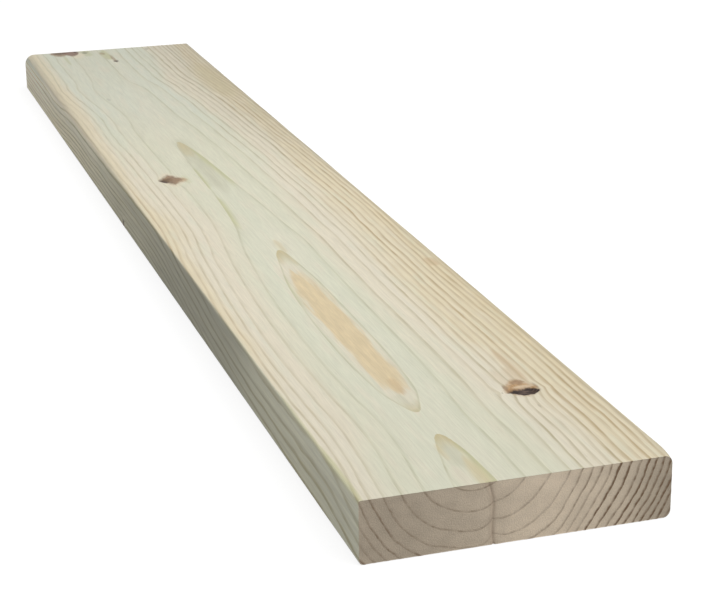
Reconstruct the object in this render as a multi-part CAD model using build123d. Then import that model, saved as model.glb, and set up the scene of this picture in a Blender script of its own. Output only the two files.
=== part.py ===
"""A dressed softwood plank: one piece of sawn and planed stock, crosscut square at both ends.

Millimetres. +X runs along the grain, +Y across the wide face and +Z up, out of the face on the heart side.
The origin is at the middle of the underside, so the plank lies on the plane Z = 0.
"""

import os

from build123d import *

# Driving dimensions.
LENGTH = 1219.2  # crosscut length, a four-foot board
WIDTH = 184.15  # dressed width of a nominal eight-inch board
THICKNESS = 38.1  # dressed thickness of a nominal two-inch board
UPPER_ARRIS_RADIUS = 1.6  # easing of the two upper long arrises
LOWER_ARRIS_RADIUS = 4.8  # easing of the lower long arris at +Y
KEEN_ARRIS_RADIUS = 2.4  # easing of the lower long arris at -Y
WORN_ARRIS_RADIUS = 10.0  # what the upper arris at -Y has worn to at the -X end
WORN_LENGTH = 720.0  # how far that arris is worn, from the -X end
KNOCKED_ARRIS_RADIUS = 5.0  # what the upper arris at +Y is knocked to at the +X end
KNOCKED_LENGTH = 16.0  # how far that arris is knocked, from the +X end

CUT_OVERRUN = 1.0  # how far a cut runs past the faces that it trims
PARTS_FOLDER = "parts"


def section():
    """The dressed section on its lower edge, with its two lower arrises eased."""
    outline = Rectangle(WIDTH, THICKNESS, align=(Align.CENTER, Align.MIN))
    for across, radius in ((-WIDTH / 2, KEEN_ARRIS_RADIUS), (WIDTH / 2, LOWER_ARRIS_RADIUS)):
        arris = outline.vertices().sort_by_distance((across, 0, 0))[0]
        outline = fillet(arris, radius)
    return outline


def waste(along, side, radius):
    """A slice of what is cut from the upper arris at -Y or +Y, side -1 or 1, outside a rounding."""
    middle = Pos(side * (WIDTH / 2 - radius), THICKNESS - radius)
    outward = Align.MIN if side > 0 else Align.MAX
    reach = radius + CUT_OVERRUN
    corner = Rectangle(reach, reach, align=(outward, Align.MIN)) - Circle(radius)
    return Plane.YZ.offset(along) * middle * corner


def plank():
    """The section run from end to end, its upper arrises eased where sound, and worn or knocked beyond."""
    far, near = -LENGTH / 2, LENGTH / 2
    sound_from = far + WORN_LENGTH
    sound_to = near - KNOCKED_LENGTH
    stock = extrude(Plane.YZ.offset(far) * section(), amount=LENGTH)
    eased_off = [
        extrude(waste(sound_from, -1, UPPER_ARRIS_RADIUS), amount=near - sound_from),
        extrude(waste(far, 1, UPPER_ARRIS_RADIUS), amount=sound_to - far),
    ]
    worn_off = loft(
        [waste(far, -1, WORN_ARRIS_RADIUS), waste(sound_from, -1, UPPER_ARRIS_RADIUS)],
        ruled=True,
    )
    knocked_off = loft(
        [waste(sound_to, 1, UPPER_ARRIS_RADIUS), waste(near, 1, KNOCKED_ARRIS_RADIUS)],
        ruled=True,
    )
    return stock - [*eased_off, worn_off, knocked_off]


def main():
    os.makedirs(PARTS_FOLDER, exist_ok=True)
    export_step(plank(), os.path.join(PARTS_FOLDER, "plank.step"))


if __name__ == "__main__":
    main()
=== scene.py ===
"""A pressure-treated pine plank, laid flat: its grain, knots and end check, and a plain studio stage.

One rule for the wood, a field of growth rings, knots and stains, is built as a node group, once for the
Geometry Nodes, which read it for the relief of the surface, and once for the materials, which read it for the
colour. So both always agree. The field works in millimetres: along from the near end, across from the middle
line, and depth below the upper face.
"""

import math
from functools import partialmethod, reduce
from typing import NamedTuple

import bpy
from bpy.props import FloatProperty, FloatVectorProperty, IntProperty, PointerProperty
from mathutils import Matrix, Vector


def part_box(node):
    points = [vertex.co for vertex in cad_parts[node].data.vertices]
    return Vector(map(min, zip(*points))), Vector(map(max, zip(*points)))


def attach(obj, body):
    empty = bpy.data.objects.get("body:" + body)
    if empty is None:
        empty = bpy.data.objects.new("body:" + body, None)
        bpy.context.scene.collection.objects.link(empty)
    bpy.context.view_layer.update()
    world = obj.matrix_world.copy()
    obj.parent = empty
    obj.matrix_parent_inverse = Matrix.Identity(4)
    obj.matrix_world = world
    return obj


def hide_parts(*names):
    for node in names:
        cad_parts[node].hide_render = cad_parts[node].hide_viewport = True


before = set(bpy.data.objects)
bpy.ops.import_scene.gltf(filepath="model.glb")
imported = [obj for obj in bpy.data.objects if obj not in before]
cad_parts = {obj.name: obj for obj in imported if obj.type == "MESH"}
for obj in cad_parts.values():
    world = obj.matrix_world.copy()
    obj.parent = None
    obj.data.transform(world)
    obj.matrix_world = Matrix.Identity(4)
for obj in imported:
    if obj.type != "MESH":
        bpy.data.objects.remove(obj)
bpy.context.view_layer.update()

bl_info = {
    "name": "Timber plank",
    "version": (1, 0, 0),
    "blender": (4, 5, 0),
    "location": "View3D > Sidebar > Timber",
    "description": "Makes a flat-sawn, pressure-treated pine plank and a studio stage for it",
    "category": "Add Mesh",
}

NODE = "plank"
PIECE = "treated_plank"

# Sizes from the frame, in metres, and the same in the field's millimetres.
LOWEST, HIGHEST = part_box(NODE)
LENGTH, WIDTH, THICKNESS = HIGHEST - LOWEST
MM = 1000.0
LENGTH_MM = LENGTH * MM
WIDTH_MM = WIDTH * MM
THICKNESS_MM = THICKNESS * MM
WHOLE_LENGTH = (0.0, LENGTH_MM)
WHOLE_WIDTH = (-WIDTH_MM / 2, WIDTH_MM / 2)
WHOLE_DEPTH = (0.0, THICKNESS_MM)

# The pith runs above the upper face, outside the plank: (along, height above the face) and (along, across).
PITH_HEIGHT = (
    (0, 17.9), (40, 20.2), (65, 21.6), (88, 22.5), (112, 21.5), (150, 18.2), (230, 15.8), (340, 17.8),
    (400, 20.6), (440, 22.1), (510, 28.0), (560, 29.9), (600, 31.0), (650, 31.9), (700, 32.6),
    (750, 33.4), (790, 34.1), (830, 35.2), (900, 38.0), (1000, 37.0), (1060, 41.0), (LENGTH_MM, 42.0),
)
PITH_ACROSS = (
    (0, -25.7), (90, -21.8), (200, -22.0), (300, -21.0), (400, -17.3), (500, -12.4), (560, -11.5),
    (600, -12.0), (650, -13.1), (700, -14.0), (750, -15.0), (800, -16.5), (900, -18.5), (1000, -24.5),
    (1060, -27.5), (LENGTH_MM, -27.5),
)
PITH_HEIGHT_REACH = (0.0, 60.0)
PITH_ACROSS_REACH = (-40.0, 0.0)

# Growth rings outwards from the pith: (radius where the ring ends, strength of its hard line). Even ones
# follow.
RINGS = (
    (22, 0.66), (34, 0.56), (45, 0.58), (54.5, 0.52), (61.5, 0.75), (67.3, 0.66), (72.2, 0.46),
    (77.2, 0.48), (81.8, 0.86), (87, 0.8), (92, 0.46), (96, 0.88), (100, 0.64), (103.8, 0.58),
    (107.6, 0.74),
)
OUTER_RINGS = 12
OUTER_SPACING = 3.6
OUTER_STRENGTHS = (0.45, 0.76, 0.58)
FIELD_REACH = (0.0, RINGS[-1][0] + OUTER_RINGS * OUTER_SPACING)
SPACING_REACH = (0.0, 25.0)
STRENGTH_REACH = (0.0, 1.2)

# A ring's hard wood fades in over a band, and ends in a darker line. A wide face cuts a ring at a slant, so
# the line is spread there, but not further than the least slope allows. Narrow rings have narrower lines,
# and so have the edges and the crosscut ends.
BAND_SPACINGS_SHARE = 0.7
BAND_SHARE, LINE_SHARE = 0.22, 0.78
LINE_START, LINE_FULL, LINE_END = 2.8, 1.0, 0.6
LINE_SPACINGS_SHARE = 0.7
CUT_LINE_SHARE = 0.68
LEAST_SLOPE_SHARE = 0.2
SKIN_DEPTH = 4.0  # how far below a wide face its own lines and stains reach
CUT_SKIN_DEPTH = 2.0  # how far in from a crosscut end its own lines reach
SEEP_WIDTH = 9.0  # how far inside a ring line its tips and seepage reach

# Towards the near end the rings widen, and on the right they lean, like the flare at the butt of a log. The
# swell is (distance to the right of the pith, share by which the rings widen), and holds to (along, share).
FLARE_LENGTH = 700.0
FLARE_START, FLARE_END = 20.0, 90.0
FLARE_LEAN = 18.0
FLARE_SWELL = (
    (-80, 0.03), (-28, 0.03), (-12, 0.0), (0, 0.0), (20, 0.02), (39, 0.085), (58, 0.135), (120, 0.13),
)
FLARE_REACH = (-80.0, 120.0)
SWELL_SHARES = (
    (0, 1.0), (100, 0.94), (200, 0.8), (300, 0.61), (400, 0.39), (500, 0.22), (700, 0.25), (950, 0.32),
    (LENGTH_MM, 0.32),
)
SWELL_REACH = (0.0, 0.2)

# Below the pith the rings stand further apart, and down the left edge closer together: (along, share of the
# depth).
DEPTH_SHARE = 0.95
LEFT_CLOSER_SHARES = (
    (0, 0), (80, -0.03), (130, 0.02), (200, 0.12), (300, 0.2), (400, 0.25), (600, 0.28), (850, 0.28),
    (1000, 0.25), (LENGTH_MM, 0.25),
)
CLOSER_REACH = (-0.1, 0.4)
LEFT_ZONE = (-35.0, -62.0)  # distances from the pith over which that sets in

# The check in the near end: (depth, across), and the cusp that it puts in the rings beside it.
CHECK_LINE = ((0, -18.3), (7, -16.0), (15, -15.1), (26, -15.6), (THICKNESS_MM, -15.0))
CHECK_REACH = (-25.0, -5.0)
CUSP_FROM_RADIUS = 23.0
CUSP_SLOPE_SHARE = 0.25
CUSP_LEFT, CUSP_RIGHT = 3.0, 9.0  # how wide it is on either side
CUSP_TURN = 0.5  # how far from the check one width goes over into the other
CUSP_LENGTH = 150.0


class Mark(NamedTuple):
    """A lens-shaped mark on the upper face: its middle and half sizes, how strongly it shows, and the share
    of it over which it fades. A knot's mark follows its branch down into the plank, at lean degrees, to one
    side, and is a diamond when blunt is 1 and a lens when it is 2."""

    along: float
    across: float
    half_along: float
    half_across: float
    strength: float
    soft: float = 0.9
    lean: float = 90.0
    side: int = 1
    blunt: float = 2.0


# Stains lie in the skin of the upper face and run along the grain. Tips and seepage lie along the inner side
# of a ring line.
STAINS = {
    "Cream": (
        Mark(262, -21.5, 168, 16, 0.85, 0.4), Mark(150, 51, 60, 17, 0.4), Mark(30, -83, 120, 13, 0.7),
        # The cream mark along the far left arris adds to the painted highlight there.
        Mark(1050, -84, 300, 14, 0.5), Mark(2, -29, 28, 7, 0.8),
    ),
    # The straw marks run along the left arris: partly straw-coloured wood, partly a painted highlight on the
    # worn arris.
    "Straw": (
        Mark(1060, -84, 340, 14, 0.8), Mark(820, -86, 220, 10, 0.8), Mark(420, -88, 240, 6, 0.5),
    ),
    "Heart": (
        Mark(264, -20.3, 128, 11.4, 0.95, 0.35), Mark(335, -15.5, 55, 9.5, 0.6, 0.8),
        Mark(190, -20.8, 60, 11.5, 0.9, 0.5),
    ),
    "Orange": (
        Mark(148, -19.8, 17, 6, 0.3), Mark(373, 83, 12, 8, 0.35), Mark(158, 57.5, 36, 5, 0.4),
        Mark(140, 54, 20, 9, 0.3), Mark(90, 78, 20, 6, 0.15), Mark(138, 44, 20, 7, 0.2),
    ),
    "Tip": (
        Mark(58, -22, 26, 11, 0.9, 0.8), Mark(112, -21.5, 22, 9, 0.55),
        Mark(420, -16.5, 30, 9, 0.95, 0.8), Mark(755, -14.5, 36, 9, 0.8),
    ),
    "Tan": (
        Mark(1025, 76, 95, 24, 0.6), Mark(870, 84, 60, 9, 0.3), Mark(446, -12, 20, 4.5, 0.6),
        Mark(4, -18.5, 38, 7, 0.85), Mark(46, -28, 14, 3, 0.4),
    ),
    "Grey": (
        Mark(698, -14, 108, 13, 0.8), Mark(40, -23.5, 20, 7, 0.6), Mark(124, -24, 14, 6, 0.5),
    ),
    "Seep": (
        Mark(24, -15, 40, 8, 0.6, 0.8), Mark(545, -27, 60, 8, 0.7, 0.7), Mark(690, -6, 100, 8, 0.75, 0.7),
        Mark(655, -25, 40, 6, 0.7, 0.7), Mark(350, -31, 60, 6, 0.4, 0.8),
    ),
    "Green": (
        Mark(1188, -6.5, 30, 8, 0.65, 0.8), Mark(1206, -26, 22, 9, 0.45, 0.8), Mark(655, -37, 16, 6, 0.3),
        Mark(1172, -52, 26, 3, 0.5), Mark(34, -90.5, 50, 2.6, 0.6), Mark(110, -91, 60, 1.5, 0.4),
    ),
    "Dull": (Mark(1219, 92, 700, 75, 1.0, 1.0),),
}
DULL_SHARE = 0.13

# Knots and the wood that they soak are pointed across the grain.
KNOTS = {
    "Resin": (
        Mark(120, 50, 15.5, 13, 0.95, 0.6, lean=42), Mark(130, 50.5, 9, 7, 0.8, 0.8, lean=42),
        Mark(655, -42, 12, 8, 0.7, 0.8, lean=42, side=-1),
    ),
    "Halo": (
        Mark(122.5, 52, 4.5, 9, 0.6, 0.8, lean=42),
        Mark(657, -50, 34, 15, 0.6, 0.7, lean=42, side=-1, blunt=1.2),
        Mark(1198, -38, 26, 11, 0.4, 0.8, lean=62, side=-1),
    ),
    "Brown": (
        Mark(115.9, 50.4, 8, 12.2, 0.85, 0.5, lean=42), Mark(123.5, 41, 7, 2, 0.7, 0.8, lean=42),
        Mark(130.5, 51.5, 7, 6, 0.65, lean=42), Mark(122, 60.3, 9, 1.4, 0.5, 0.8, lean=42),
        Mark(657, -49.5, 20, 12.5, 0.95, 0.5, lean=42, side=-1, blunt=1.3),
        Mark(1213, -55, 22, 12, 0.85, 0.5, lean=62, side=-1),
        Mark(1168, -2.6, 30, 2.6, 0.55, 0.8, lean=60), Mark(1197, -9.5, 12, 3.8, 0.5, 0.8, lean=60),
    ),
    "Red": (Mark(1212, -42, 22, 10, 0.9, 0.4, lean=62, side=-1),),
    # The black marks are bark, with painted shadow in the open knots.
    "Black": (
        Mark(115.9, 51.6, 6.3, 9.2, 1.0, 0.35, lean=42, blunt=3.0),
        Mark(117.8, 44.6, 3.4, 9, 1.0, 0.4, lean=42), Mark(658, -54.5, 10, 7, 0.9, lean=42, side=-1),
        Mark(1216, -55, 14, 9, 0.5, lean=62, side=-1), Mark(1216, -36, 7, 4, 0.5, lean=62, side=-1),
        Mark(1155, -2.4, 9, 3.6, 0.7, 0.8, lean=60), Mark(1210, -27, 9, 4, 0.45, 0.8, lean=85),
        Mark(1206, 42, 7, 3, 0.3, 0.8, lean=80), Mark(972, -44, 10, 3, 0.16, lean=60, side=-1),
        Mark(91, 50, 5, 0.9, 0.2, 0.7, lean=85),
    ),
}
BRANCH_TAPER = -0.0095
LEAST_BRANCH_SHARE = 0.35
STAIN_POWER = 4.0
STAIN_RAGGED_SHARE, KNOT_RAGGED_SHARE = 0.45, 0.25

# Round a knot the rings bulge, by as many millimetres as the mark's strength.
BULGES = (Mark(118, 50, 24, 24, 3.0, lean=42), Mark(657, -49, 34, 20, 3.0, lean=42, side=-1))


class Noise(NamedTuple):
    """Noise: its cells along, across and down, how many finer layers it has, and how rough they are."""

    along: float
    across: float
    down: float
    detail: float = 3.0
    roughness: float = 0.5


# Noises, with cells in millimetres.
WANDER_NOISE = Noise(95.0, 24.0, 24.0)
WIGGLE_NOISE = Noise(38.0, 7.0, 7.0, detail=2.0)
UNEVEN_NOISE = Noise(140.0, 5.0, 5.0, detail=1.0)
BROKEN_NOISE = Noise(28.0, 3.0, 3.0, detail=2.0)
STAIN_NOISE = Noise(38.0, 3.0, 3.0)
RAGGED_NOISE = Noise(6.0, 3.0, 3.0, detail=4.0)
BLOTCH_NOISE = Noise(190.0, 17.0, 17.0, detail=2.0)
DRIER_NOISE = Noise(320.0, 22.0, 22.0, detail=2.0)
TINT_NOISE = Noise(60.0, 9.0, 9.0)
GRAIN_NOISE = Noise(42.0, 2.4, 2.4, roughness=0.6)
FIBRE_NOISE = Noise(24.0, 0.8, 0.8, roughness=0.6)
EDGE_STREAK_NOISE = Noise(220.0, 30.0, 3.4)
FLECK_NOISE = Noise(11.0, 0.6, 0.6, detail=1.0)
MOTTLE_NOISE = Noise(22.0, 4.0, 4.0)
GRIT_NOISE = Noise(2.2, 1.1, 1.1)
SPLIT_NOISE = Noise(1.2, 6.0, 6.0)
PORE_NOISE = Noise(30.0, 0.8, 0.8, roughness=0.65)
SMUDGE_NOISE = Noise(60.0, 14.0, 9.0)
SAWN_NOISE = Noise(20.0, 2.4, 2.4)

# How far the outer rings wander, in millimetres, and the radii between which they start to.
WANDER, WIGGLE = 1.6, 0.7
WANDER_ZONE = (32.0, 60.0)

# Noise runs through a range of its own, mostly its middle, from one tone or share to another.
NOISE_MIDDLE, NOISE_WIDE = (0.3, 0.7), (0.25, 0.75)
UNEVEN_SHARES, BROKEN_SHARES = (0.65, 1.2), (0.75, 1.25)
DRIER_RANGE, DRIER_SHARES = (0.45, 0.7), (0.0, 0.25)
GREEN_RANGE, CREAM_RANGE, TINT_SHARES = (0.5, 0.7), (0.5, 0.3), (0.0, 0.4)
RING_STRAW_SHARE = 0.15
HEART_TONES, GRAIN_TONES, FIBRE_TONES = (0.94, 1.04), (0.965, 1.03), (0.94, 1.045)
FLECK_RANGE, FLECK_TONES = (0.7, 0.8), (1.0, 0.86)
EDGE_STREAK_TONES, SMUDGE_TONES, PORE_TONES = (0.88, 1.08), (0.93, 1.05), (0.91, 1.06)
RESIN_TONES, BROWN_TONES, RED_TONES = (1.15, 0.8), (1.2, 0.65), (1.2, 0.75)
# The black of a knot runs from dark bark to lighter streaks: partly lighter fibres, partly painted glints.
BLACK_RANGE, BLACK_AND_GLINT_TONES = (0.45, 0.7), (0.8, 3.2)

# Shine of the planed faces and the crosscut ends, what noise and hard lines add to it, and their bump.
FACE_SPECULAR, FACE_ROUGHNESS, FIBRE_ROUGHNESS, LINE_ROUGHNESS = 0.25, 0.55, 0.2, -0.1
END_SPECULAR, END_ROUGHNESS, PORE_ROUGHNESS = 0.15, 0.7, 0.2
FIBRE_BUMP, PORE_BUMP = 0.00012, 0.0003

# The stain and the groove fade out along the plank.
CHECK_STAIN, CHECK_STAIN_SHARES = (3.5, 0.5), (0.0, 0.22)
CHECK_OPENING, CHECK_OPENING_RANGE, CHECK_OPENING_SHARES = (1.1, 0.3), (0.35, 0.6), (0.05, 0.35)
CHECK_GROOVE = (1.2, 0.0)
STAIN_FADE, GROOVE_FADE = (40.0, 0.0), (60.0, 20.0)

# Radii between which the soft wood, and then the hard lines, go from one colour to the next. They count with
# a shift that changes along the plank, (along, millimetres), and with a slow wander.
ZONE_SHIFT = (
    (0, -4), (60, 0), (140, 9), (260, 14), (380, 13), (500, 11), (620, 0), (740, -8), (860, -10),
    (980, -9), (1100, -22), (LENGTH_MM, -26),
)
ZONE_SHIFT_REACH = (-30.0, 20.0)
ZONE_WANDER = 14.0
CREAM_ZONE = (46.0, 62.0)
STRAW_ZONE = (70.0, 88.0)
TAN_ZONE = (98.0, 122.0)
BROWN_LINE_ZONE = (42.0, 62.0)
TAN_LINE_ZONE = (70.0, 88.0)

# The face is duller towards its ends: (along, tone). The planed edges are greener. Along the left one light
# and shade are painted: it is lighter towards both ends, with painted shade over a stretch between them.
FACE_TONE = ((0, 0.95), (140, 0.98), (330, 1.02), (620, 1.03), (900, 0.97), (1100, 0.925), (LENGTH_MM, 0.9))
EDGE_INSETS = (1.6, 0.2)  # distances in from the edges over which the face goes over into them
EDGE_ZONE = tuple(WIDTH_MM / 2 - inset for inset in EDGE_INSETS)
LEFT_EDGE_PAINTED_LIGHT = ((0, 1.3), (170, 1.22), (300, 0.83), (430, 0.72), (580, 0.9), (860, 1.27), (LENGTH_MM, 1.55))
EDGE_GREEN_SHARES = ((0, 0.75), (300, 0.8), (600, 0.65), (900, 0.35), (LENGTH_MM, 0.15))
RIGHT_EDGE_TONE, RIGHT_EDGE_GREEN_SHARE = 1.15, 0.5
TONE_REACH = (0.5, 1.7)

# How strongly the ring lines show on the planed faces, (across, strength), and how much more on the edges.
FACE_LINES = ((-WIDTH_MM / 2, 0.8), (-60, 0.8), (-30, 0.92), (30, 1.0), (60, 1.0), (WIDTH_MM / 2, 0.95))
EDGE_LINES = 0.6

# Painted shade darkens the wood towards the upper right arris and down the right edge. The treatment is
# cooler in colour towards the far end.
PAINTED_SHADE_INSETS, PAINTED_SHADE_TONE = (6.0, 0.8), 0.82
PAINTED_SHADE_ZONE = tuple(WIDTH_MM / 2 - inset for inset in PAINTED_SHADE_INSETS)
COOL_ZONE, COOL_SHARE = (760.0, 960.0), 0.8

# The crosscut ends are lighter right of the check, and their lines are stronger further right: (across,
# tone) and (across, strength).
END_TONE = (
    (-WIDTH_MM / 2, 0.99), (-60, 1.03), (-22, 1.23), (18, 1.54), (45, 1.47), (70, 1.23),
    (WIDTH_MM / 2, 0.91),
)
END_LINES = ((-WIDTH_MM / 2, 0.8), (-20, 0.7), (20, 0.65), (40, 1.0), (60, 1.42), (WIDTH_MM / 2, 1.45))
LINES_REACH = (0.0, 1.6)


def srgb(red, green, blue):
    """The linear colour for screen values of 0 to 255."""
    shares = [value / 255 for value in (red, green, blue)]
    return tuple(c / 12.92 if c <= 0.04045 else ((c + 0.055) / 1.055) ** 2.4 for c in shares)


def colour_property(name, description, red, green, blue):
    return FloatVectorProperty(
        name=name, description=description, default=srgb(red, green, blue), min=0.0, max=1.0,
        subtype="COLOR",
    )


def count_property(name, description, default):
    return IntProperty(name=name, description=description, default=default, min=8, max=400)


def length_property(name, description, default, most, precision=4):
    return FloatProperty(
        name=name, description=description, default=default, min=0.0, max=most, precision=precision,
        subtype="DISTANCE", unit="LENGTH",
    )


class TimberShape(bpy.types.PropertyGroup):
    """Sizes of the plank's mesh and of its relief."""

    upper_arris: length_property("Upper arris", "Easing of the upper long arrises", 0.0016, 0.015)
    lower_arris: length_property("Lower arris", "Easing of the lower right arris", 0.0048, 0.015)
    keen_arris: length_property("Keen arris", "Easing of the lower left arris", 0.0024, 0.015)
    worn_arris: length_property("Worn arris", "Rounding at the far end, upper left", 0.010, 0.018)
    worn_length: length_property("Worn length", "How far from the far end it is worn", 0.72, 1.2)
    knocked_arris: length_property("Knocked arris", "Rounding at the near end, upper right", 0.005, 0.015)
    knocked_length: length_property("Knocked length", "How far from the near end it is knocked", 0.016, 0.2)
    rows: count_property("Rows", "Vertices along the plank", 170)
    columns: count_property("Columns", "Vertices across the plank", 190)
    layers: count_property("Layers", "Vertices through the thickness", 40)
    grain_relief: length_property("Grain relief", "Soft wood below the hard lines", 0.0001, 0.001, 5)
    knot_hollow: length_property("Knot hollow", "Depth of the open part of a knot", 0.0022, 0.01)
    check_depth: length_property("Check depth", "Depth of the drying check in the near end", 0.0004, 0.01)
    saw_relief: length_property("Saw relief", "Roughness of the crosscut ends", 0.00016, 0.001, 5)


class TimberColours(bpy.types.PropertyGroup):
    """Colours of the wood."""

    soft_green: colour_property("Soft wood, treated", "Where the treatment soaked in", 215, 215, 194)
    soft_cool: colour_property("Soft wood, cool", "The treated wood at the far end", 212, 215, 199)
    soft_cream: colour_property("Soft wood, cream", "Beside the treated middle", 224, 216, 196)
    soft_straw: colour_property("Soft wood, straw", "Towards the outer rings", 222, 210, 181)
    soft_tan: colour_property("Soft wood, tan", "Among the outermost rings", 214, 199, 165)
    hard_olive: colour_property("Ring lines, treated", "Hard lines of the treated middle", 184, 182, 152)
    hard_brown: colour_property("Ring lines, brown", "Hard lines beside the middle", 182, 170, 138)
    hard_tan: colour_property("Ring lines, tan", "Hard lines of the outer rings", 182, 161, 124)
    hard_edge: colour_property("Ring lines, edge", "Hard lines of the planed edges", 172, 165, 132)
    tip: colour_property("Ring tips", "Where a ring just touches the face", 196, 183, 143)
    tan: colour_property("Tan stain", "Smooth tan patches", 208, 196, 160)
    grey: colour_property("Grey stain", "Duller wood inside a loop of grain", 197, 195, 172)
    green: colour_property("Treatment stain", "Where the treatment gathered", 188, 187, 142)
    heart: colour_property("Heart", "Where the face comes near the pith", 220, 200, 162)
    orange: colour_property("Resin stain", "Wood that took up resin", 186, 150, 108)
    resin: colour_property("Knot resin", "Resin-soaked wood beside a knot", 176, 138, 94)
    halo: colour_property("Knot halo", "Pale wood that grew round a knot", 226, 208, 180)
    brown: colour_property("Knot", "Wood of a knot", 146, 120, 94)
    red: colour_property("Knot heart", "Redder wood of a knot", 122, 94, 80)
    black: colour_property("Knot bark and shadow", "Bark and shadow in a knot", 56, 45, 40)
    end_soft: colour_property("End grain", "Soft wood of the crosscut ends", 203, 188, 167)
    end_hard: colour_property("End rings", "Hard wood of the crosscut ends", 136, 113, 90)
    check: colour_property("Check", "Inside the drying check", 140, 112, 94)


class TimberStage(bpy.types.PropertyGroup):
    """Camera and light."""

    lens: FloatProperty(
        name="Lens", description="Focal length on a 36 mm wide sensor", default=96.13, min=10.0, max=300.0,
        subtype="DISTANCE_CAMERA",
    )
    eye: FloatVectorProperty(
        name="Camera place", description="Where the camera stands", default=(1.48258, -0.36477, 0.46928),
        subtype="TRANSLATION", unit="LENGTH",
    )
    turn: FloatVectorProperty(
        name="Camera turn", description="How the camera is turned",
        default=(math.radians(70.807), math.radians(0.679), math.radians(72.422)), subtype="EULER",
    )
    key_from: FloatVectorProperty(
        name="Key from", description="Direction that the key light comes from", default=(0.40, 0.38, 0.84),
        subtype="DIRECTION",
    )
    key_distance: length_property("Key distance", "How far away the key light hangs", 5.5, 50.0)
    key_width: length_property("Key width", "Width of the soft key light", 5.0, 50.0)
    key_power: FloatProperty(
        name="Key power", description="Strength of the key light", default=196.0, min=0.0, subtype="POWER",
    )
    fill: FloatProperty(
        name="Fill", description="Strength of the even light all round", default=0.50, min=0.0, max=2.0,
    )
    floor_side: length_property("Floor", "Side of the square floor", 12.0, 100.0)


def settings_in(group):
    """The settings of a property group, without the ones that every group has."""
    return [setting for setting in group.bl_rna.properties if setting.identifier not in ("rna_type", "name")]


# Where the colours and the result of a colour mix stand among its sockets.
MIX_COLOURS, MIX_RESULT = (6, 7), 2


class Net:
    """Adds nodes to one tree, and hands back the sockets that they give."""

    def __init__(self, tree):
        self.tree = tree

    def node(self, kind, *values, inputs=None, **settings):
        """A new node with these settings. Values go to its first inputs, and named inputs to their own."""
        made = self.tree.nodes.new(kind)
        for name, value in settings.items():
            setattr(made, name, value)
        for socket, value in zip(made.inputs, values):
            self.feed(socket, value)
        for name, value in (inputs or {}).items():
            self.feed(made.inputs[name], value)
        return made

    def feed(self, socket, value):
        if isinstance(value, bpy.types.NodeSocket):
            self.tree.links.new(value, socket)
        else:
            socket.default_value = value

    def math(self, operation, *values, clamp=False):
        return self.node("ShaderNodeMath", *values, operation=operation, use_clamp=clamp).outputs[0]

    add = partialmethod(math, "ADD")
    subtract = partialmethod(math, "SUBTRACT")
    multiply = partialmethod(math, "MULTIPLY")
    divide = partialmethod(math, "DIVIDE")
    multiply_add = partialmethod(math, "MULTIPLY_ADD")
    maximum = partialmethod(math, "MAXIMUM")
    minimum = partialmethod(math, "MINIMUM")
    absolute = partialmethod(math, "ABSOLUTE")
    greater_than = partialmethod(math, "GREATER_THAN")

    def product(self, *values):
        return reduce(self.multiply, values)

    def largest(self, values):
        return reduce(self.maximum, values)

    def vector(self, operation, *values):
        made = self.node("ShaderNodeVectorMath", *values, operation=operation)
        return made.outputs["Value" if operation in ("LENGTH", "DOT_PRODUCT") else "Vector"]

    def split(self, vector):
        return self.node("ShaderNodeSeparateXYZ", vector).outputs

    def join(self, x, y, z):
        return self.node("ShaderNodeCombineXYZ", x, y, z).outputs[0]

    def step(self, value, start, end, low=0.0, high=1.0):
        """A smooth step from low at start to high at end."""
        values = (value, start, end, low, high)
        return self.node("ShaderNodeMapRange", *values, interpolation_type="SMOOTHSTEP").outputs[0]

    def curve(self, value, points, reach, span):
        """A smooth line through points, whose first numbers run over reach and the second ones over span."""
        (first, last), (low, high) = reach, span
        made = self.node("ShaderNodeFloatCurve")
        places = [((x - first) / (last - first), (y - low) / (high - low)) for x, y in points]
        line = made.mapping.curves[0]
        line.points[0].location = places[0]
        line.points[1].location = places[-1]
        for place in places[1:-1]:
            line.points.new(*place)
        for point in line.points:
            point.handle_type = "AUTO_CLAMPED"
        made.mapping.update()
        share = self.multiply_add(value, 1 / (last - first), -first / (last - first), clamp=True)
        self.feed(made.inputs["Value"], share)
        return self.multiply_add(made.outputs[0], high - low, low)

    def noise(self, place, noise):
        """Noise of 0 to 1 at a place."""
        cell = (noise.along, noise.across, noise.down)
        inputs = {
            "Vector": self.vector("DIVIDE", place, cell), "Scale": 1.0, "Detail": noise.detail,
            "Roughness": noise.roughness,
        }
        return self.node("ShaderNodeTexNoise", inputs=inputs).outputs[0]

    def spread(self, noise, values, between=NOISE_MIDDLE):
        """A smooth step from the first of two values to the second, as noise runs through a range."""
        return self.step(noise, *between, *values)

    def swing(self, noise, reach):
        """Noise as a number of -reach to reach."""
        return self.multiply_add(noise, 2 * reach, -reach)

    def chance(self, number):
        """A fixed random number of 0 to 1 for each whole number."""
        made = self.node("ShaderNodeTexWhiteNoise", inputs={"W": number}, noise_dimensions="1D")
        return made.outputs["Value"]

    def blend(self, share, first, second, blend_type="MIX"):
        made = self.node("ShaderNodeMix", share, data_type="RGBA", blend_type=blend_type)
        for place, colour in zip(MIX_COLOURS, (first, second)):
            given = colour if isinstance(colour, bpy.types.NodeSocket) else (*colour, 1.0)
            self.feed(made.inputs[place], given)
        return made.outputs[MIX_RESULT]

    def toned(self, colour, tone):
        """A colour made lighter or darker by a number."""
        return self.blend(1.0, colour, self.join(tone, tone, tone), blend_type="MULTIPLY")

    def through(self, geometry, kind, inputs, **settings):
        """Sends geometry through a node with these inputs, and returns what comes out."""
        return self.node(kind, inputs={"Geometry": geometry, **inputs}, **settings).outputs["Geometry"]


# The field of the wood

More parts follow.
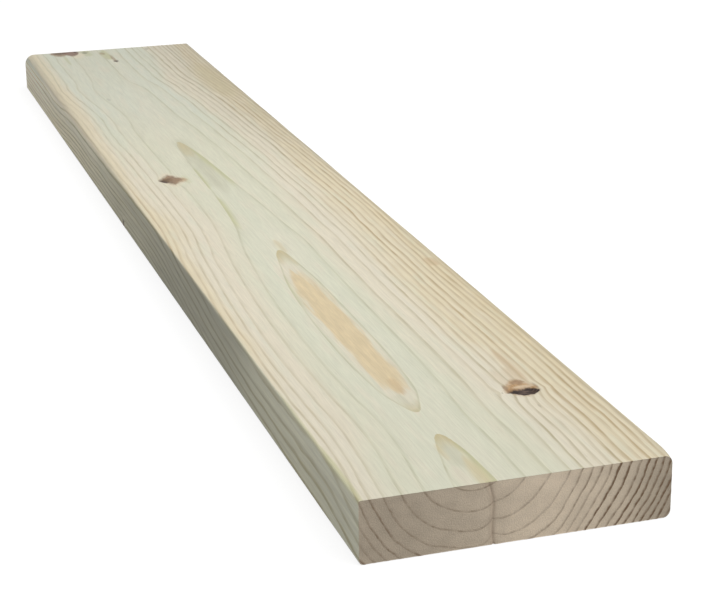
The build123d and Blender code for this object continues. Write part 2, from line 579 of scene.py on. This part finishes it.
FIELD_OUTPUTS = ("Along", "Across", "Depth", "Radius", "Ring", "Latewood", "Check", *STAINS, *KNOTS)
FIELD_TREES = {"ShaderNodeTree": "ShaderNodeGroup", "GeometryNodeTree": "GeometryNodeGroup"}


def ring_table():
    """All rings as (radius, strength): the listed ones, and then even ones out to the field's reach."""
    rings = list(RINGS)
    for count in range(1, OUTER_RINGS + 1):
        strength = OUTER_STRENGTHS[count % len(OUTER_STRENGTHS)]
        rings.append((RINGS[-1][0] + count * OUTER_SPACING, strength))
    return rings


def reach_of(net, place, mark, pointed_along=False):
    """How far a point lies from a mark: 0 on the line of its branch, 1 at its pointed rim."""
    lean = math.radians(mark.lean)
    offset = net.vector("SUBTRACT", place, (mark.along, mark.across, 0.0))
    branch = (0.0, mark.side * math.cos(lean), math.sin(lean))
    outwards = net.vector("DOT_PRODUCT", offset, branch)
    slant = Vector((0.0, -mark.side * math.sin(lean), math.cos(lean))) / (mark.half_across * math.sin(lean))
    beside = net.vector("DOT_PRODUCT", offset, slant)
    lengthwise = net.vector("DOT_PRODUCT", offset, (1 / mark.half_along, 0.0, 0.0))
    if pointed_along:
        lens = net.add(net.math("POWER", lengthwise, STAIN_POWER), net.absolute(beside))
    else:
        rounded = net.math("POWER", net.absolute(beside), mark.blunt)
        lens = net.add(rounded, net.absolute(lengthwise))
    taper = net.multiply_add(outwards, BRANCH_TAPER, 1.0)
    return net.divide(lens, net.maximum(taper, LEAST_BRANCH_SHARE))


def marks_of(net, place, marks, ragged, pointed_along=False):
    """The strongest of several marks at a point."""
    shown = []
    for mark in marks:
        reach = net.add(reach_of(net, place, mark, pointed_along), ragged)
        shown.append(net.step(reach, 1.0, 1.0 - mark.soft, 0.0, mark.strength))
    return net.largest(shown)


def ring_radius(net, place, along, across, depth, aside):
    """The distance from the pith, as the growth rings count it."""
    height = net.curve(along, PITH_HEIGHT, WHOLE_LENGTH, PITH_HEIGHT_REACH)
    near = net.step(along, FLARE_LENGTH, 0.0)
    flare = net.product(near, net.step(aside, FLARE_START, FLARE_END))
    below = net.multiply_add(depth, DEPTH_SHARE, height)
    below = net.multiply_add(flare, FLARE_LEAN, below)
    radius = net.vector("LENGTH", net.join(aside, below, 0.0))
    swell = net.curve(aside, FLARE_SWELL, FLARE_REACH, SWELL_REACH)
    swell = net.product(swell, net.curve(along, SWELL_SHARES, WHOLE_LENGTH, (0.0, 1.0)))
    radius = net.product(radius, net.subtract(1.0, swell))
    closer = net.curve(along, LEFT_CLOSER_SHARES, WHOLE_LENGTH, CLOSER_REACH)
    closer = net.product(closer, depth, net.step(aside, *LEFT_ZONE))
    radius = net.add(radius, closer)

    # The rings turn up to a cusp at the check.
    from_check = check_offset(net, across, depth)
    fall = net.step(from_check, -CUSP_TURN, CUSP_TURN, -CUSP_LEFT, -CUSP_RIGHT)
    fading = net.divide(net.absolute(from_check), fall)
    rise = net.multiply(net.subtract(radius, CUSP_FROM_RADIUS), CUSP_SLOPE_SHARE)
    cusp = net.product(net.maximum(rise, 0.0), net.math("EXPONENT", fading))
    radius = net.add(radius, net.product(cusp, net.step(along, CUSP_LENGTH, 0.0)))

    # Knots bend the rings, and the outer rings wander a little everywhere.
    for bulge in BULGES:
        push = net.step(reach_of(net, place, bulge), 1.0, 0.0, 0.0, bulge.strength)
        radius = net.subtract(radius, push)
    wander = net.swing(net.noise(place, WANDER_NOISE), WANDER)
    wander = net.add(wander, net.swing(net.noise(place, WIGGLE_NOISE), WIGGLE))
    return net.add(radius, net.product(wander, net.step(radius, *WANDER_ZONE)))


def check_offset(net, across, depth):
    """How far a point lies to the right of the check in the near end."""
    return net.subtract(across, net.curve(depth, CHECK_LINE, WHOLE_DEPTH, CHECK_REACH))


def build_field(tree_type):
    """The node group that tells, for a position in metres, where it lies in the wood."""
    tree = bpy.data.node_groups.new(f"Wood of {FIELD_TREES[tree_type]}", tree_type)
    tree.interface.new_socket("Position", in_out="INPUT", socket_type="NodeSocketVector")
    for name in FIELD_OUTPUTS:
        tree.interface.new_socket(name, in_out="OUTPUT", socket_type="NodeSocketFloat")
    net = Net(tree)
    x, y, z = net.split(net.node("NodeGroupInput").outputs["Position"])
    along = net.multiply_add(x, -MM, HIGHEST.x * MM)
    across = net.multiply(y, MM)
    depth = net.multiply_add(z, -MM, HIGHEST.z * MM)
    place = net.join(along, across, depth)
    middle = net.curve(along, PITH_ACROSS, WHOLE_LENGTH, PITH_ACROSS_REACH)
    aside = net.subtract(across, middle)
    radius = ring_radius(net, place, along, across, depth, aside)

    # Each ring goes from soft wood to a hard line, and ends sharply.
    table = ring_table()
    radii = [0.0] + [ring_end for ring_end, _ in table]
    counts = [(ring_end, count) for count, ring_end in enumerate(radii)]
    spacings = [(0.0, radii[1])] + [(b, b - a) for a, b in zip(radii, radii[1:])]
    strengths = [(0.0, table[0][1])] + table
    rings = net.curve(radius, counts, FIELD_REACH, (0.0, len(table)))
    spacing = net.curve(radius, spacings, FIELD_REACH, SPACING_REACH)
    strength = net.curve(radius, strengths, FIELD_REACH, STRENGTH_REACH)
    uneven = net.spread(net.noise(place, UNEVEN_NOISE), UNEVEN_SHARES, NOISE_WIDE)
    broken = net.spread(net.noise(place, BROKEN_NOISE), BROKEN_SHARES)
    strength = net.product(strength, uneven, broken)
    before = net.product(net.subtract(1.0, net.math("FRACT", rings)), spacing)
    band = net.step(before, net.multiply(spacing, BAND_SPACINGS_SHARE), 0.0)

    # The wide faces cut the rings at a slant, which spreads their lines.
    skin = net.step(depth, SKIN_DEPTH, SKIN_DEPTH / 2)
    under_skin = net.step(depth, THICKNESS_MM - SKIN_DEPTH, THICKNESS_MM - SKIN_DEPTH / 2)
    from_end = net.minimum(along, net.subtract(LENGTH_MM, along))
    on_face = net.maximum(skin, under_skin)
    on_face = net.product(on_face, net.step(from_end, CUT_SKIN_DEPTH / 2, CUT_SKIN_DEPTH))
    slope = net.divide(net.absolute(aside), radius)
    slope = net.multiply_add(on_face, net.subtract(slope, 1.0), 1.0)
    slope = net.maximum(slope, LEAST_SLOPE_SHARE)
    before = net.divide(before, slope)
    room = net.divide(net.multiply(spacing, LINE_SPACINGS_SHARE / LINE_START), slope)
    width = net.multiply_add(on_face, 1.0 - CUT_LINE_SHARE, CUT_LINE_SHARE)
    drawn = net.divide(before, net.minimum(room, width))
    line = net.product(net.step(drawn, LINE_START, LINE_FULL), net.step(drawn, 0.0, LINE_END))
    profile = net.multiply_add(line, LINE_SHARE, net.multiply(band, BAND_SHARE))

    shown = {
        "Along": along, "Across": across, "Depth": depth, "Radius": radius,
        "Ring": net.math("FLOOR", rings),
        "Latewood": net.multiply(profile, strength, clamp=True),
        "Check": net.absolute(check_offset(net, across, depth)),
    }
    stain_rim = net.swing(net.noise(place, STAIN_NOISE), STAIN_RAGGED_SHARE)
    for name, marks in STAINS.items():
        shown[name] = net.product(marks_of(net, place, marks, stain_rim, pointed_along=True), skin)
    inside = net.step(before, SEEP_WIDTH, 0.0)
    for name in ("Tip", "Seep"):
        shown[name] = net.product(shown[name], inside)
    knot_rim = net.swing(net.noise(place, RAGGED_NOISE), KNOT_RAGGED_SHARE)
    for name, marks in KNOTS.items():
        shown[name] = marks_of(net, place, marks, knot_rim)
    net.node("NodeGroupOutput", inputs=shown)
    return tree


def field_in(net, position):
    """Puts the wood's field into a tree, and returns its outputs by name and the place in millimetres."""
    tree_type = net.tree.bl_idname
    kind = FIELD_TREES[tree_type]
    tree = bpy.data.node_groups.get(f"Wood of {kind}") or build_field(tree_type)
    group = net.node(kind, inputs={"Position": position}, node_tree=tree)
    place = net.join(*(group.outputs[name] for name in ("Along", "Across", "Depth")))
    return group.outputs, place


# The materials

def new_material(name):
    """A node material with its net, its shader and the object's own coordinates."""
    material = bpy.data.materials.new(name)
    material.use_nodes = True
    net = Net(material.node_tree)
    shader = material.node_tree.nodes["Principled BSDF"]
    position = net.node("ShaderNodeTexCoord").outputs["Object"]
    return material, net, shader, position


def surface(net, shader, colour, specular, roughness, bumps, bump_height):
    """Gives a shader its colour, its shine, and bumps of this height."""
    bumped = net.node("ShaderNodeBump", inputs={"Distance": bump_height, "Height": bumps})
    net.feed(shader.inputs["Normal"], bumped.outputs["Normal"])
    net.feed(shader.inputs["Base Color"], colour)
    net.feed(shader.inputs["Specular IOR Level"], specular)
    net.feed(shader.inputs["Roughness"], roughness)


def laid_over(net, field, wood, shades):
    """Lays marks of the field over a wood colour, each in its own shade."""
    for name, shade in shades.items():
        wood = net.blend(field[name], wood, shade)
    return wood


def knots_over(net, colours, field, place, wood):
    """Lays the knots over a wood colour."""
    grit = net.noise(place, GRIT_NOISE)
    streak = net.noise(place, SPLIT_NOISE)
    return laid_over(net, field, wood, {
        "Resin": net.toned(colours.resin, net.spread(grit, RESIN_TONES)),
        "Halo": colours.halo,
        "Brown": net.toned(colours.brown, net.spread(streak, BROWN_TONES)),
        "Red": net.toned(colours.red, net.spread(streak, RED_TONES)),
        # Painted glints and lighter fibres streak the black.
        "Black": net.toned(colours.black, net.spread(streak, BLACK_AND_GLINT_TONES, BLACK_RANGE)),
    })


def face_material(colours):
    """The planed faces and edges: long grain."""
    material, net, shader, position = new_material("Treated pine, planed")
    field, place = field_in(net, position)
    blotch = net.swing(net.noise(place, BLOTCH_NOISE), ZONE_WANDER)
    shift = net.curve(field["Along"], ZONE_SHIFT, WHOLE_LENGTH, ZONE_SHIFT_REACH)
    zone = net.add(field["Radius"], net.add(shift, blotch))
    cool = net.step(field["Along"], *COOL_ZONE, 0.0, COOL_SHARE)
    treated = net.blend(cool, colours.soft_green, colours.soft_cool)
    soft = net.blend(net.step(zone, *CREAM_ZONE), treated, colours.soft_cream)
    soft = net.blend(net.step(zone, *STRAW_ZONE), soft, colours.soft_straw)
    soft = net.blend(net.step(zone, *TAN_ZONE), soft, colours.soft_tan)
    drier = net.spread(net.noise(place, DRIER_NOISE), DRIER_SHARES, DRIER_RANGE)
    soft = net.blend(drier, soft, colours.soft_cream)
    tint = net.noise(place, TINT_NOISE)
    soft = net.blend(net.spread(tint, TINT_SHARES, GREEN_RANGE), soft, colours.soft_green)
    soft = net.blend(net.spread(tint, TINT_SHARES, CREAM_RANGE), soft, colours.soft_cream)
    straw = net.multiply(net.chance(field["Ring"]), RING_STRAW_SHARE)
    soft = net.blend(straw, soft, colours.soft_straw)
    brown = net.step(zone, *BROWN_LINE_ZONE)
    hard = net.blend(brown, colours.hard_olive, colours.hard_brown)
    hard = net.blend(net.step(zone, *TAN_LINE_ZONE), hard, colours.hard_tan)

    # The edges took more of the treatment than the faces.
    at_edge = net.step(net.absolute(field["Across"]), *EDGE_ZONE)
    right_side = net.greater_than(field["Across"], 0.0)
    green_share = net.curve(field["Along"], EDGE_GREEN_SHARES, WHOLE_LENGTH, (0.0, 1.0))
    green_share = net.step(right_side, 0.0, 1.0, green_share, RIGHT_EDGE_GREEN_SHARE)
    soft = net.blend(net.product(at_edge, green_share), soft, colours.soft_green)
    hard = net.blend(at_edge, hard, colours.hard_edge)

    # Some stains lie under the ring lines and some over them.
    heart = net.toned(colours.heart, net.spread(net.noise(place, MOTTLE_NOISE), HEART_TONES))
    # The straw marks paint a highlight along the worn left arris as well as straw wood.
    soft = laid_over(net, field, soft, {
        "Cream": colours.soft_cream, "Straw": colours.soft_straw, "Heart": heart, "Orange": colours.orange,
    })
    lines = net.curve(field["Across"], FACE_LINES, WHOLE_WIDTH, LINES_REACH)
    lines = net.multiply_add(at_edge, EDGE_LINES, lines)
    wood = net.blend(net.multiply(field["Latewood"], lines, clamp=True), soft, hard)
    wood = laid_over(net, field, wood, {
        "Grey": colours.grey, "Tan": colours.tan, "Tip": colours.tip, "Seep": colours.green,
        "Green": colours.green,
    })

    # The far right is duller, and fibres are fine streaks of light and shade.
    wood = net.toned(wood, net.multiply_add(field["Dull"], -DULL_SHARE, 1.0))
    grain = net.noise(place, GRAIN_NOISE)
    wood = net.toned(wood, net.spread(grain, GRAIN_TONES))
    fibre = net.noise(place, FIBRE_NOISE)
    wood = net.toned(wood, net.spread(fibre, FIBRE_TONES, NOISE_WIDE))
    fleck = net.spread(net.noise(place, FLECK_NOISE), FLECK_TONES, FLECK_RANGE)
    wood = net.toned(wood, fleck)
    # Painted shade along the upper right arris and the right edge.
    wood = net.toned(wood, net.step(field["Across"], *PAINTED_SHADE_ZONE, 1.0, PAINTED_SHADE_TONE))
    face_tone = net.curve(field["Along"], FACE_TONE, WHOLE_LENGTH, TONE_REACH)
    # The left edge's tone is painted light and shade along its length; the right edge has one even tone.
    edge_tone_and_painted_light = net.curve(field["Along"], LEFT_EDGE_PAINTED_LIGHT, WHOLE_LENGTH, TONE_REACH)
    edge_tone_and_painted_light = net.step(right_side, 0.0, 1.0, edge_tone_and_painted_light, RIGHT_EDGE_TONE)
    streak = net.spread(net.noise(place, EDGE_STREAK_NOISE), EDGE_STREAK_TONES)
    edge_tone_and_painted_light = net.product(edge_tone_and_painted_light, streak)
    change = net.product(at_edge, net.subtract(edge_tone_and_painted_light, face_tone))
    wood = net.toned(wood, net.add(face_tone, change))
    wood = knots_over(net, colours, field, place, wood)
    dull = net.multiply_add(fibre, FIBRE_ROUGHNESS, FACE_ROUGHNESS)
    dull = net.multiply_add(field["Latewood"], LINE_ROUGHNESS, dull)
    surface(net, shader, wood, FACE_SPECULAR, dull, net.add(fibre, fleck), FIBRE_BUMP)
    return material


def end_material(colours):
    """The crosscut ends: rings, sawn fibre ends and the check."""
    material, net, shader, position = new_material("Treated pine, crosscut")
    field, place = field_in(net, position)
    smudge = net.noise(place, SMUDGE_NOISE)
    tone = net.curve(field["Across"], END_TONE, WHOLE_WIDTH, TONE_REACH)
    soft = net.toned(colours.end_soft, tone)
    soft = net.toned(soft, net.spread(smudge, SMUDGE_TONES))
    lines = net.curve(field["Across"], END_LINES, WHOLE_WIDTH, LINES_REACH)
    wood = net.blend(net.multiply(field["Latewood"], lines, clamp=True), soft, colours.end_hard)
    pores = net.noise(place, PORE_NOISE)
    wood = net.toned(wood, net.spread(pores, PORE_TONES, NOISE_WIDE))
    at_near_end = net.step(field["Along"], *STAIN_FADE)
    broken = net.spread(smudge, CHECK_OPENING_SHARES, CHECK_OPENING_RANGE)
    stained = net.product(net.step(field["Check"], *CHECK_STAIN, *CHECK_STAIN_SHARES), at_near_end)
    opened = net.product(net.step(field["Check"], *CHECK_OPENING), broken, at_near_end)
    wood = net.blend(net.maximum(stained, opened), wood, colours.check)
    wood = knots_over(net, colours, field, place, wood)
    dull = net.multiply_add(pores, PORE_ROUGHNESS, END_ROUGHNESS)
    surface(net, shader, wood, END_SPECULAR, dull, pores, PORE_BUMP)
    return material


# The plank's mesh

MATERIAL_INPUTS = ("Planed", "Crosscut")

# Rows stand closer at the near end and the knots, columns at the check, and columns and layers at the
# arrises: (share of the count, share of the size).
ROW_SHARES = (
    (0, 0), (0.035, 0.014), (0.13, 0.075), (0.25, 0.125), (0.5, 0.505), (0.64, 0.575), (0.88, 0.92),
    (1, 1),
)
COLUMN_SHARES = ((0, 0), (0.022, 0.009), (0.36, 0.393), (0.46, 0.447), (0.978, 0.991), (1, 1))
LAYER_SHARES = ((0, 0), (0.1, 0.042), (0.9, 0.958), (1, 1))

# The wave along the arrises is in metres, and its other two cells tell the four arrises apart.
ARRIS_NOISE = Noise(0.25, 1.0, 1.0, detail=2.0)
ARRIS_WAVE_SHARE = 0.25
END_FACES = "end_grain"
END_FACING = 0.5
END_SKIN = 0.0004
LEAST_LENGTH = 1e-6
SHARP_ANGLE = math.radians(40)


def arris_radius(net, given, x, y, z):
    """The rounding of the long arris that is nearest to a point, with a slow wave along it."""
    upper = net.greater_than(z, 0.0)
    left = net.math("LESS_THAN", y, 0.0)
    right = net.subtract(1.0, left)
    sound_share = net.divide(net.add(x, LENGTH / 2), given["Worn length"])
    far_share = net.subtract(1.0, sound_share, clamp=True)
    sound_share = net.divide(net.subtract(LENGTH / 2, x), given["Knocked length"])
    near_share = net.subtract(1.0, sound_share, clamp=True)
    worn = net.subtract(given["Worn arris"], given["Upper arris"])
    knocked = net.subtract(given["Knocked arris"], given["Upper arris"])
    wear = net.product(worn, far_share, left)
    knock = net.product(knocked, near_share, near_share, right)
    eased = net.add(given["Upper arris"], net.add(wear, knock))
    keener = net.product(net.subtract(given["Keen arris"], given["Lower arris"]), left)
    lower = net.add(given["Lower arris"], keener)
    radius = net.add(lower, net.product(net.subtract(eased, lower), upper))
    wave = net.noise(net.join(x, upper, left), ARRIS_NOISE)
    return net.product(radius, net.add(net.swing(wave, ARRIS_WAVE_SHARE), 1.0))


def plank_tree():
    """The Geometry Nodes tree: a box of quads, its arrises eased, with the relief of the wood."""
    tree = bpy.data.node_groups.new("Plank", "GeometryNodeTree")
    tree.interface.new_socket("Geometry", in_out="OUTPUT", socket_type="NodeSocketGeometry")
    for setting in settings_in(TimberShape):
        kind = "NodeSocketInt" if setting.type == "INT" else "NodeSocketFloat"
        tree.interface.new_socket(setting.name, in_out="INPUT", socket_type=kind)
    for name in MATERIAL_INPUTS:
        tree.interface.new_socket(name, in_out="INPUT", socket_type="NodeSocketMaterial")
    net = Net(tree)
    given = net.node("NodeGroupInput").outputs

    box = net.node("GeometryNodeMeshCube", inputs={
        "Size": (LENGTH, WIDTH, THICKNESS), "Vertices X": given["Rows"], "Vertices Y": given["Columns"],
        "Vertices Z": given["Layers"],
    })
    facing_x = net.split(net.node("GeometryNodeInputNormal").outputs[0])[0]
    is_end = net.greater_than(net.absolute(facing_x), END_FACING)
    mesh = net.through(
        box.outputs["Mesh"], "GeometryNodeStoreNamedAttribute", {"Name": END_FACES, "Value": is_end},
        data_type="BOOLEAN", domain="FACE",
    )

    # Space the rows, columns and layers, and ease the arrises by pulling the corners in to a quarter circle.
    x, y, z = net.split(net.node("GeometryNodeInputPosition").outputs[0])
    row_places = [(LENGTH * (0.5 - a), LENGTH * (0.5 - b)) for a, b in reversed(ROW_SHARES)]
    column_places = [(WIDTH * (a - 0.5), WIDTH * (b - 0.5)) for a, b in COLUMN_SHARES]
    layer_places = [(THICKNESS * (a - 0.5), THICKNESS * (b - 0.5)) for a, b in LAYER_SHARES]
    spans = [(-size / 2, size / 2) for size in (LENGTH, WIDTH, THICKNESS)]
    places = zip((x, y, z), (row_places, column_places, layer_places), spans)
    x, y, z = [net.curve(value, points, span, span) for value, points, span in places]
    rounding = arris_radius(net, given, x, y, z)
    flat = [net.subtract(half, rounding) for half in (WIDTH / 2, THICKNESS / 2)]
    core = [
        net.maximum(net.minimum(value, limit), net.multiply(limit, -1.0))
        for value, limit in zip((y, z), flat)
    ]
    out_y = net.subtract(y, core[0])
    out_z = net.subtract(z, core[1])
    furthest = net.maximum(net.absolute(out_y), net.absolute(out_z))
    straight = net.vector("LENGTH", net.join(0.0, out_y, out_z))
    pull = net.divide(furthest, net.maximum(straight, LEAST_LENGTH))
    y = net.multiply_add(out_y, pull, core[0])
    z = net.multiply_add(out_z, pull, core[1])
    z = net.add(z, THICKNESS / 2)
    mesh = net.through(mesh, "GeometryNodeSetPosition", {"Position": net.join(x, y, z)})

    # Sink the soft wood, the open knots, the sawn ends and the check below the dressed faces.
    position = net.node("GeometryNodeInputPosition").outputs[0]
    field, place = field_in(net, position)
    from_middle = net.absolute(net.split(position)[0])
    at_end = net.step(from_middle, LENGTH / 2 - END_SKIN, LENGTH / 2 - END_SKIN / 4)
    on_face = net.subtract(1.0, at_end)
    soft = net.subtract(1.0, field["Latewood"])
    sunk = net.multiply(soft, given["Grain relief"])
    in_skin = net.step(field["Depth"], SKIN_DEPTH, SKIN_DEPTH / 2)
    hollow = net.product(field["Black"], in_skin, given["Knot hollow"])
    sunk = net.product(net.add(sunk, hollow), on_face)
    sawn = net.noise(place, SAWN_NOISE)
    sawn = net.product(net.add(sawn, soft), given["Saw relief"])
    groove = net.product(net.step(field["Check"], *CHECK_GROOVE), given["Check depth"])
    groove = net.product(groove, net.step(field["Along"], *GROOVE_FADE))
    sunk = net.add(sunk, net.product(net.add(sawn, groove), at_end))
    normal = net.node("GeometryNodeInputNormal").outputs[0]
    inwards = net.node(
        "ShaderNodeVectorMath", normal, inputs={"Scale": net.multiply(sunk, -1.0)}, operation="SCALE",
    )
    mesh = net.through(mesh, "GeometryNodeSetPosition", {"Offset": inwards.outputs[0]})

    # Smooth faces, with the crosscut edges sharp.
    mesh = net.through(mesh, "GeometryNodeSetShadeSmooth", {}, domain="FACE")
    angle = net.node("GeometryNodeInputMeshEdgeAngle").outputs["Unsigned Angle"]
    creased = {"Selection": net.greater_than(angle, SHARP_ANGLE), "Shade Smooth": False}
    mesh = net.through(mesh, "GeometryNodeSetShadeSmooth", creased, domain="EDGE")
    mesh = net.through(mesh, "GeometryNodeRealizeInstances", {})
    mesh = net.through(mesh, "GeometryNodeSetMaterial", {"Material": given["Planed"]})
    named = net.node("GeometryNodeInputNamedAttribute", inputs={"Name": END_FACES}, data_type="BOOLEAN")
    sawn_ends = {"Selection": named.outputs["Attribute"], "Material": given["Crosscut"]}
    mesh = net.through(mesh, "GeometryNodeSetMaterial", sawn_ends)
    net.node("NodeGroupOutput", inputs={"Geometry": mesh})
    return tree


def new_object(name, data):
    made = bpy.data.objects.new(name, data)
    bpy.context.scene.collection.objects.link(made)
    return made


def made_mesh(name, tree, values):
    """Runs a Geometry Nodes tree with these inputs, and returns its result as a plain mesh."""
    holder = new_object(name, bpy.data.meshes.new(name))
    modifier = holder.modifiers.new(name, "NODES")
    modifier.node_group = tree
    for item in tree.interface.items_tree:
        if item.in_out == "INPUT":
            modifier[item.identifier] = values[item.name]
    graph = bpy.context.evaluated_depsgraph_get()
    mesh = bpy.data.meshes.new_from_object(
        holder.evaluated_get(graph), preserve_all_data_layers=True, depsgraph=graph)
    holder.modifiers.remove(modifier)
    bpy.data.objects.remove(holder)
    mesh.name = name
    return mesh


class TIMBER_OT_plank(bpy.types.Operator):
    """Make the plank, with its grain, knots, arrises and crosscut ends"""

    bl_idname = "timber.plank"
    bl_label = "Plank"
    bl_options = {"REGISTER", "UNDO"}

    def execute(self, context):
        shape = context.scene.timber_shape
        colours = context.scene.timber_colours
        values = {setting.name: getattr(shape, setting.identifier) for setting in settings_in(shape)}
        values["Planed"] = face_material(colours)
        values["Crosscut"] = end_material(colours)
        mesh = made_mesh(PIECE, plank_tree(), values)
        if not mesh.polygons:
            raise RuntimeError("the plank's tree gave no faces")
        plank = new_object(PIECE, mesh)
        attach(plank, "root")
        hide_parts(NODE)
        return {"FINISHED"}


# The stage

WHITE = (1.0, 1.0, 1.0, 1.0)
FLOOR_GREY = (0.22, 0.22, 0.22, 1.0)
FLOOR_GLOW = 0.86
FLOOR_DROP = 0.0003
SENSOR_WIDTH = 36.0


def emptied(holder):
    """The net of a material or a world that has no nodes left."""
    holder.use_nodes = True
    holder.node_tree.nodes.clear()
    return Net(holder.node_tree)


def seen_directly(net):
    """1 for rays that show a surface to the camera, straight or through a mirror or glass."""
    path = net.node("ShaderNodeLightPath").outputs
    return net.largest([path["Is Camera Ray"], path["Is Glossy Ray"], path["Is Transmission Ray"]])


def floor_material():
    """A pale floor that looks white, keeps a soft shadow and throws back little light."""
    material = bpy.data.materials.new("Studio floor")
    net = emptied(material)
    matt = net.node("ShaderNodeBsdfDiffuse", inputs={"Color": FLOOR_GREY})
    strength = net.multiply(seen_directly(net), FLOOR_GLOW)
    glow = net.node("ShaderNodeEmission", inputs={"Strength": strength})
    both = net.node("ShaderNodeAddShader", matt.outputs[0], glow.outputs[0])
    net.node("ShaderNodeOutputMaterial", inputs={"Surface": both.outputs[0]})
    return material


def studio_world(fill):
    """Even light all round, which looks white to the camera."""
    world = bpy.data.worlds.new("Studio")
    net = emptied(world)
    strength = net.multiply_add(seen_directly(net), 1.0 - fill, fill)
    even = net.node("ShaderNodeBackground", inputs={"Color": WHITE, "Strength": strength})
    net.node("ShaderNodeOutputWorld", inputs={"Surface": even.outputs[0]})
    return world


class TIMBER_OT_stage(bpy.types.Operator):
    """Make the floor, the light and the camera"""

    bl_idname = "timber.stage"
    bl_label = "Stage"
    bl_options = {"REGISTER", "UNDO"}

    def execute(self, context):
        scene = context.scene
        stage = scene.timber_stage
        half = stage.floor_side / 2
        mesh = bpy.data.meshes.new("floor")
        corners = [(x * half, y * half, -FLOOR_DROP) for x, y in ((-1, -1), (1, -1), (1, 1), (-1, 1))]
        mesh.from_pydata(corners, [], [(0, 1, 2, 3)])
        mesh.materials.append(floor_material())
        new_object("floor", mesh)

        key = bpy.data.lights.new("key", "AREA")
        key.shape = "DISK"
        key.size = stage.key_width
        key.energy = stage.key_power
        lamp = new_object("key", key)
        lamp.visible_camera = False
        towards = Vector(stage.key_from).normalized()
        lamp.location = towards * stage.key_distance
        lamp.rotation_euler = (-towards).to_track_quat("-Z", "Y").to_euler()
        scene.world = studio_world(stage.fill)

        lens = bpy.data.cameras.new("camera")
        lens.lens = stage.lens
        lens.sensor_width = SENSOR_WIDTH
        camera = new_object("camera", lens)
        camera.location = stage.eye
        camera.rotation_euler = stage.turn
        scene.camera = camera
        scene.view_settings.view_transform = "Standard"
        return {"FINISHED"}


class TIMBER_PT_panel(bpy.types.Panel):
    """Lists the plank's settings and steps"""

    bl_idname = "TIMBER_PT_panel"
    bl_label = "Timber plank"
    bl_space_type = "VIEW_3D"
    bl_region_type = "UI"
    bl_category = "Timber"

    def draw(self, context):
        scene = context.scene
        groups = (
            (scene.timber_shape, TIMBER_OT_plank),
            (scene.timber_colours, None),
            (scene.timber_stage, TIMBER_OT_stage),
        )
        for settings, step in groups:
            column = self.layout.column(align=True)
            for setting in settings_in(settings):
                column.prop(settings, setting.identifier)
            if step:
                column.operator(step.bl_idname)


CLASSES = (TimberShape, TimberColours, TimberStage, TIMBER_OT_plank, TIMBER_OT_stage, TIMBER_PT_panel)
SETTINGS = {"timber_shape": TimberShape, "timber_colours": TimberColours, "timber_stage": TimberStage}


def register():
    for each in CLASSES:
        bpy.utils.register_class(each)
    for name, group in SETTINGS.items():
        setattr(bpy.types.Scene, name, PointerProperty(type=group))


def unregister():
    for name in SETTINGS:
        delattr(bpy.types.Scene, name)
    for each in reversed(CLASSES):
        bpy.utils.unregister_class(each)


def main():
    register()
    bpy.ops.timber.plank()
    bpy.ops.timber.stage()


if __name__ == "__main__":
    main()
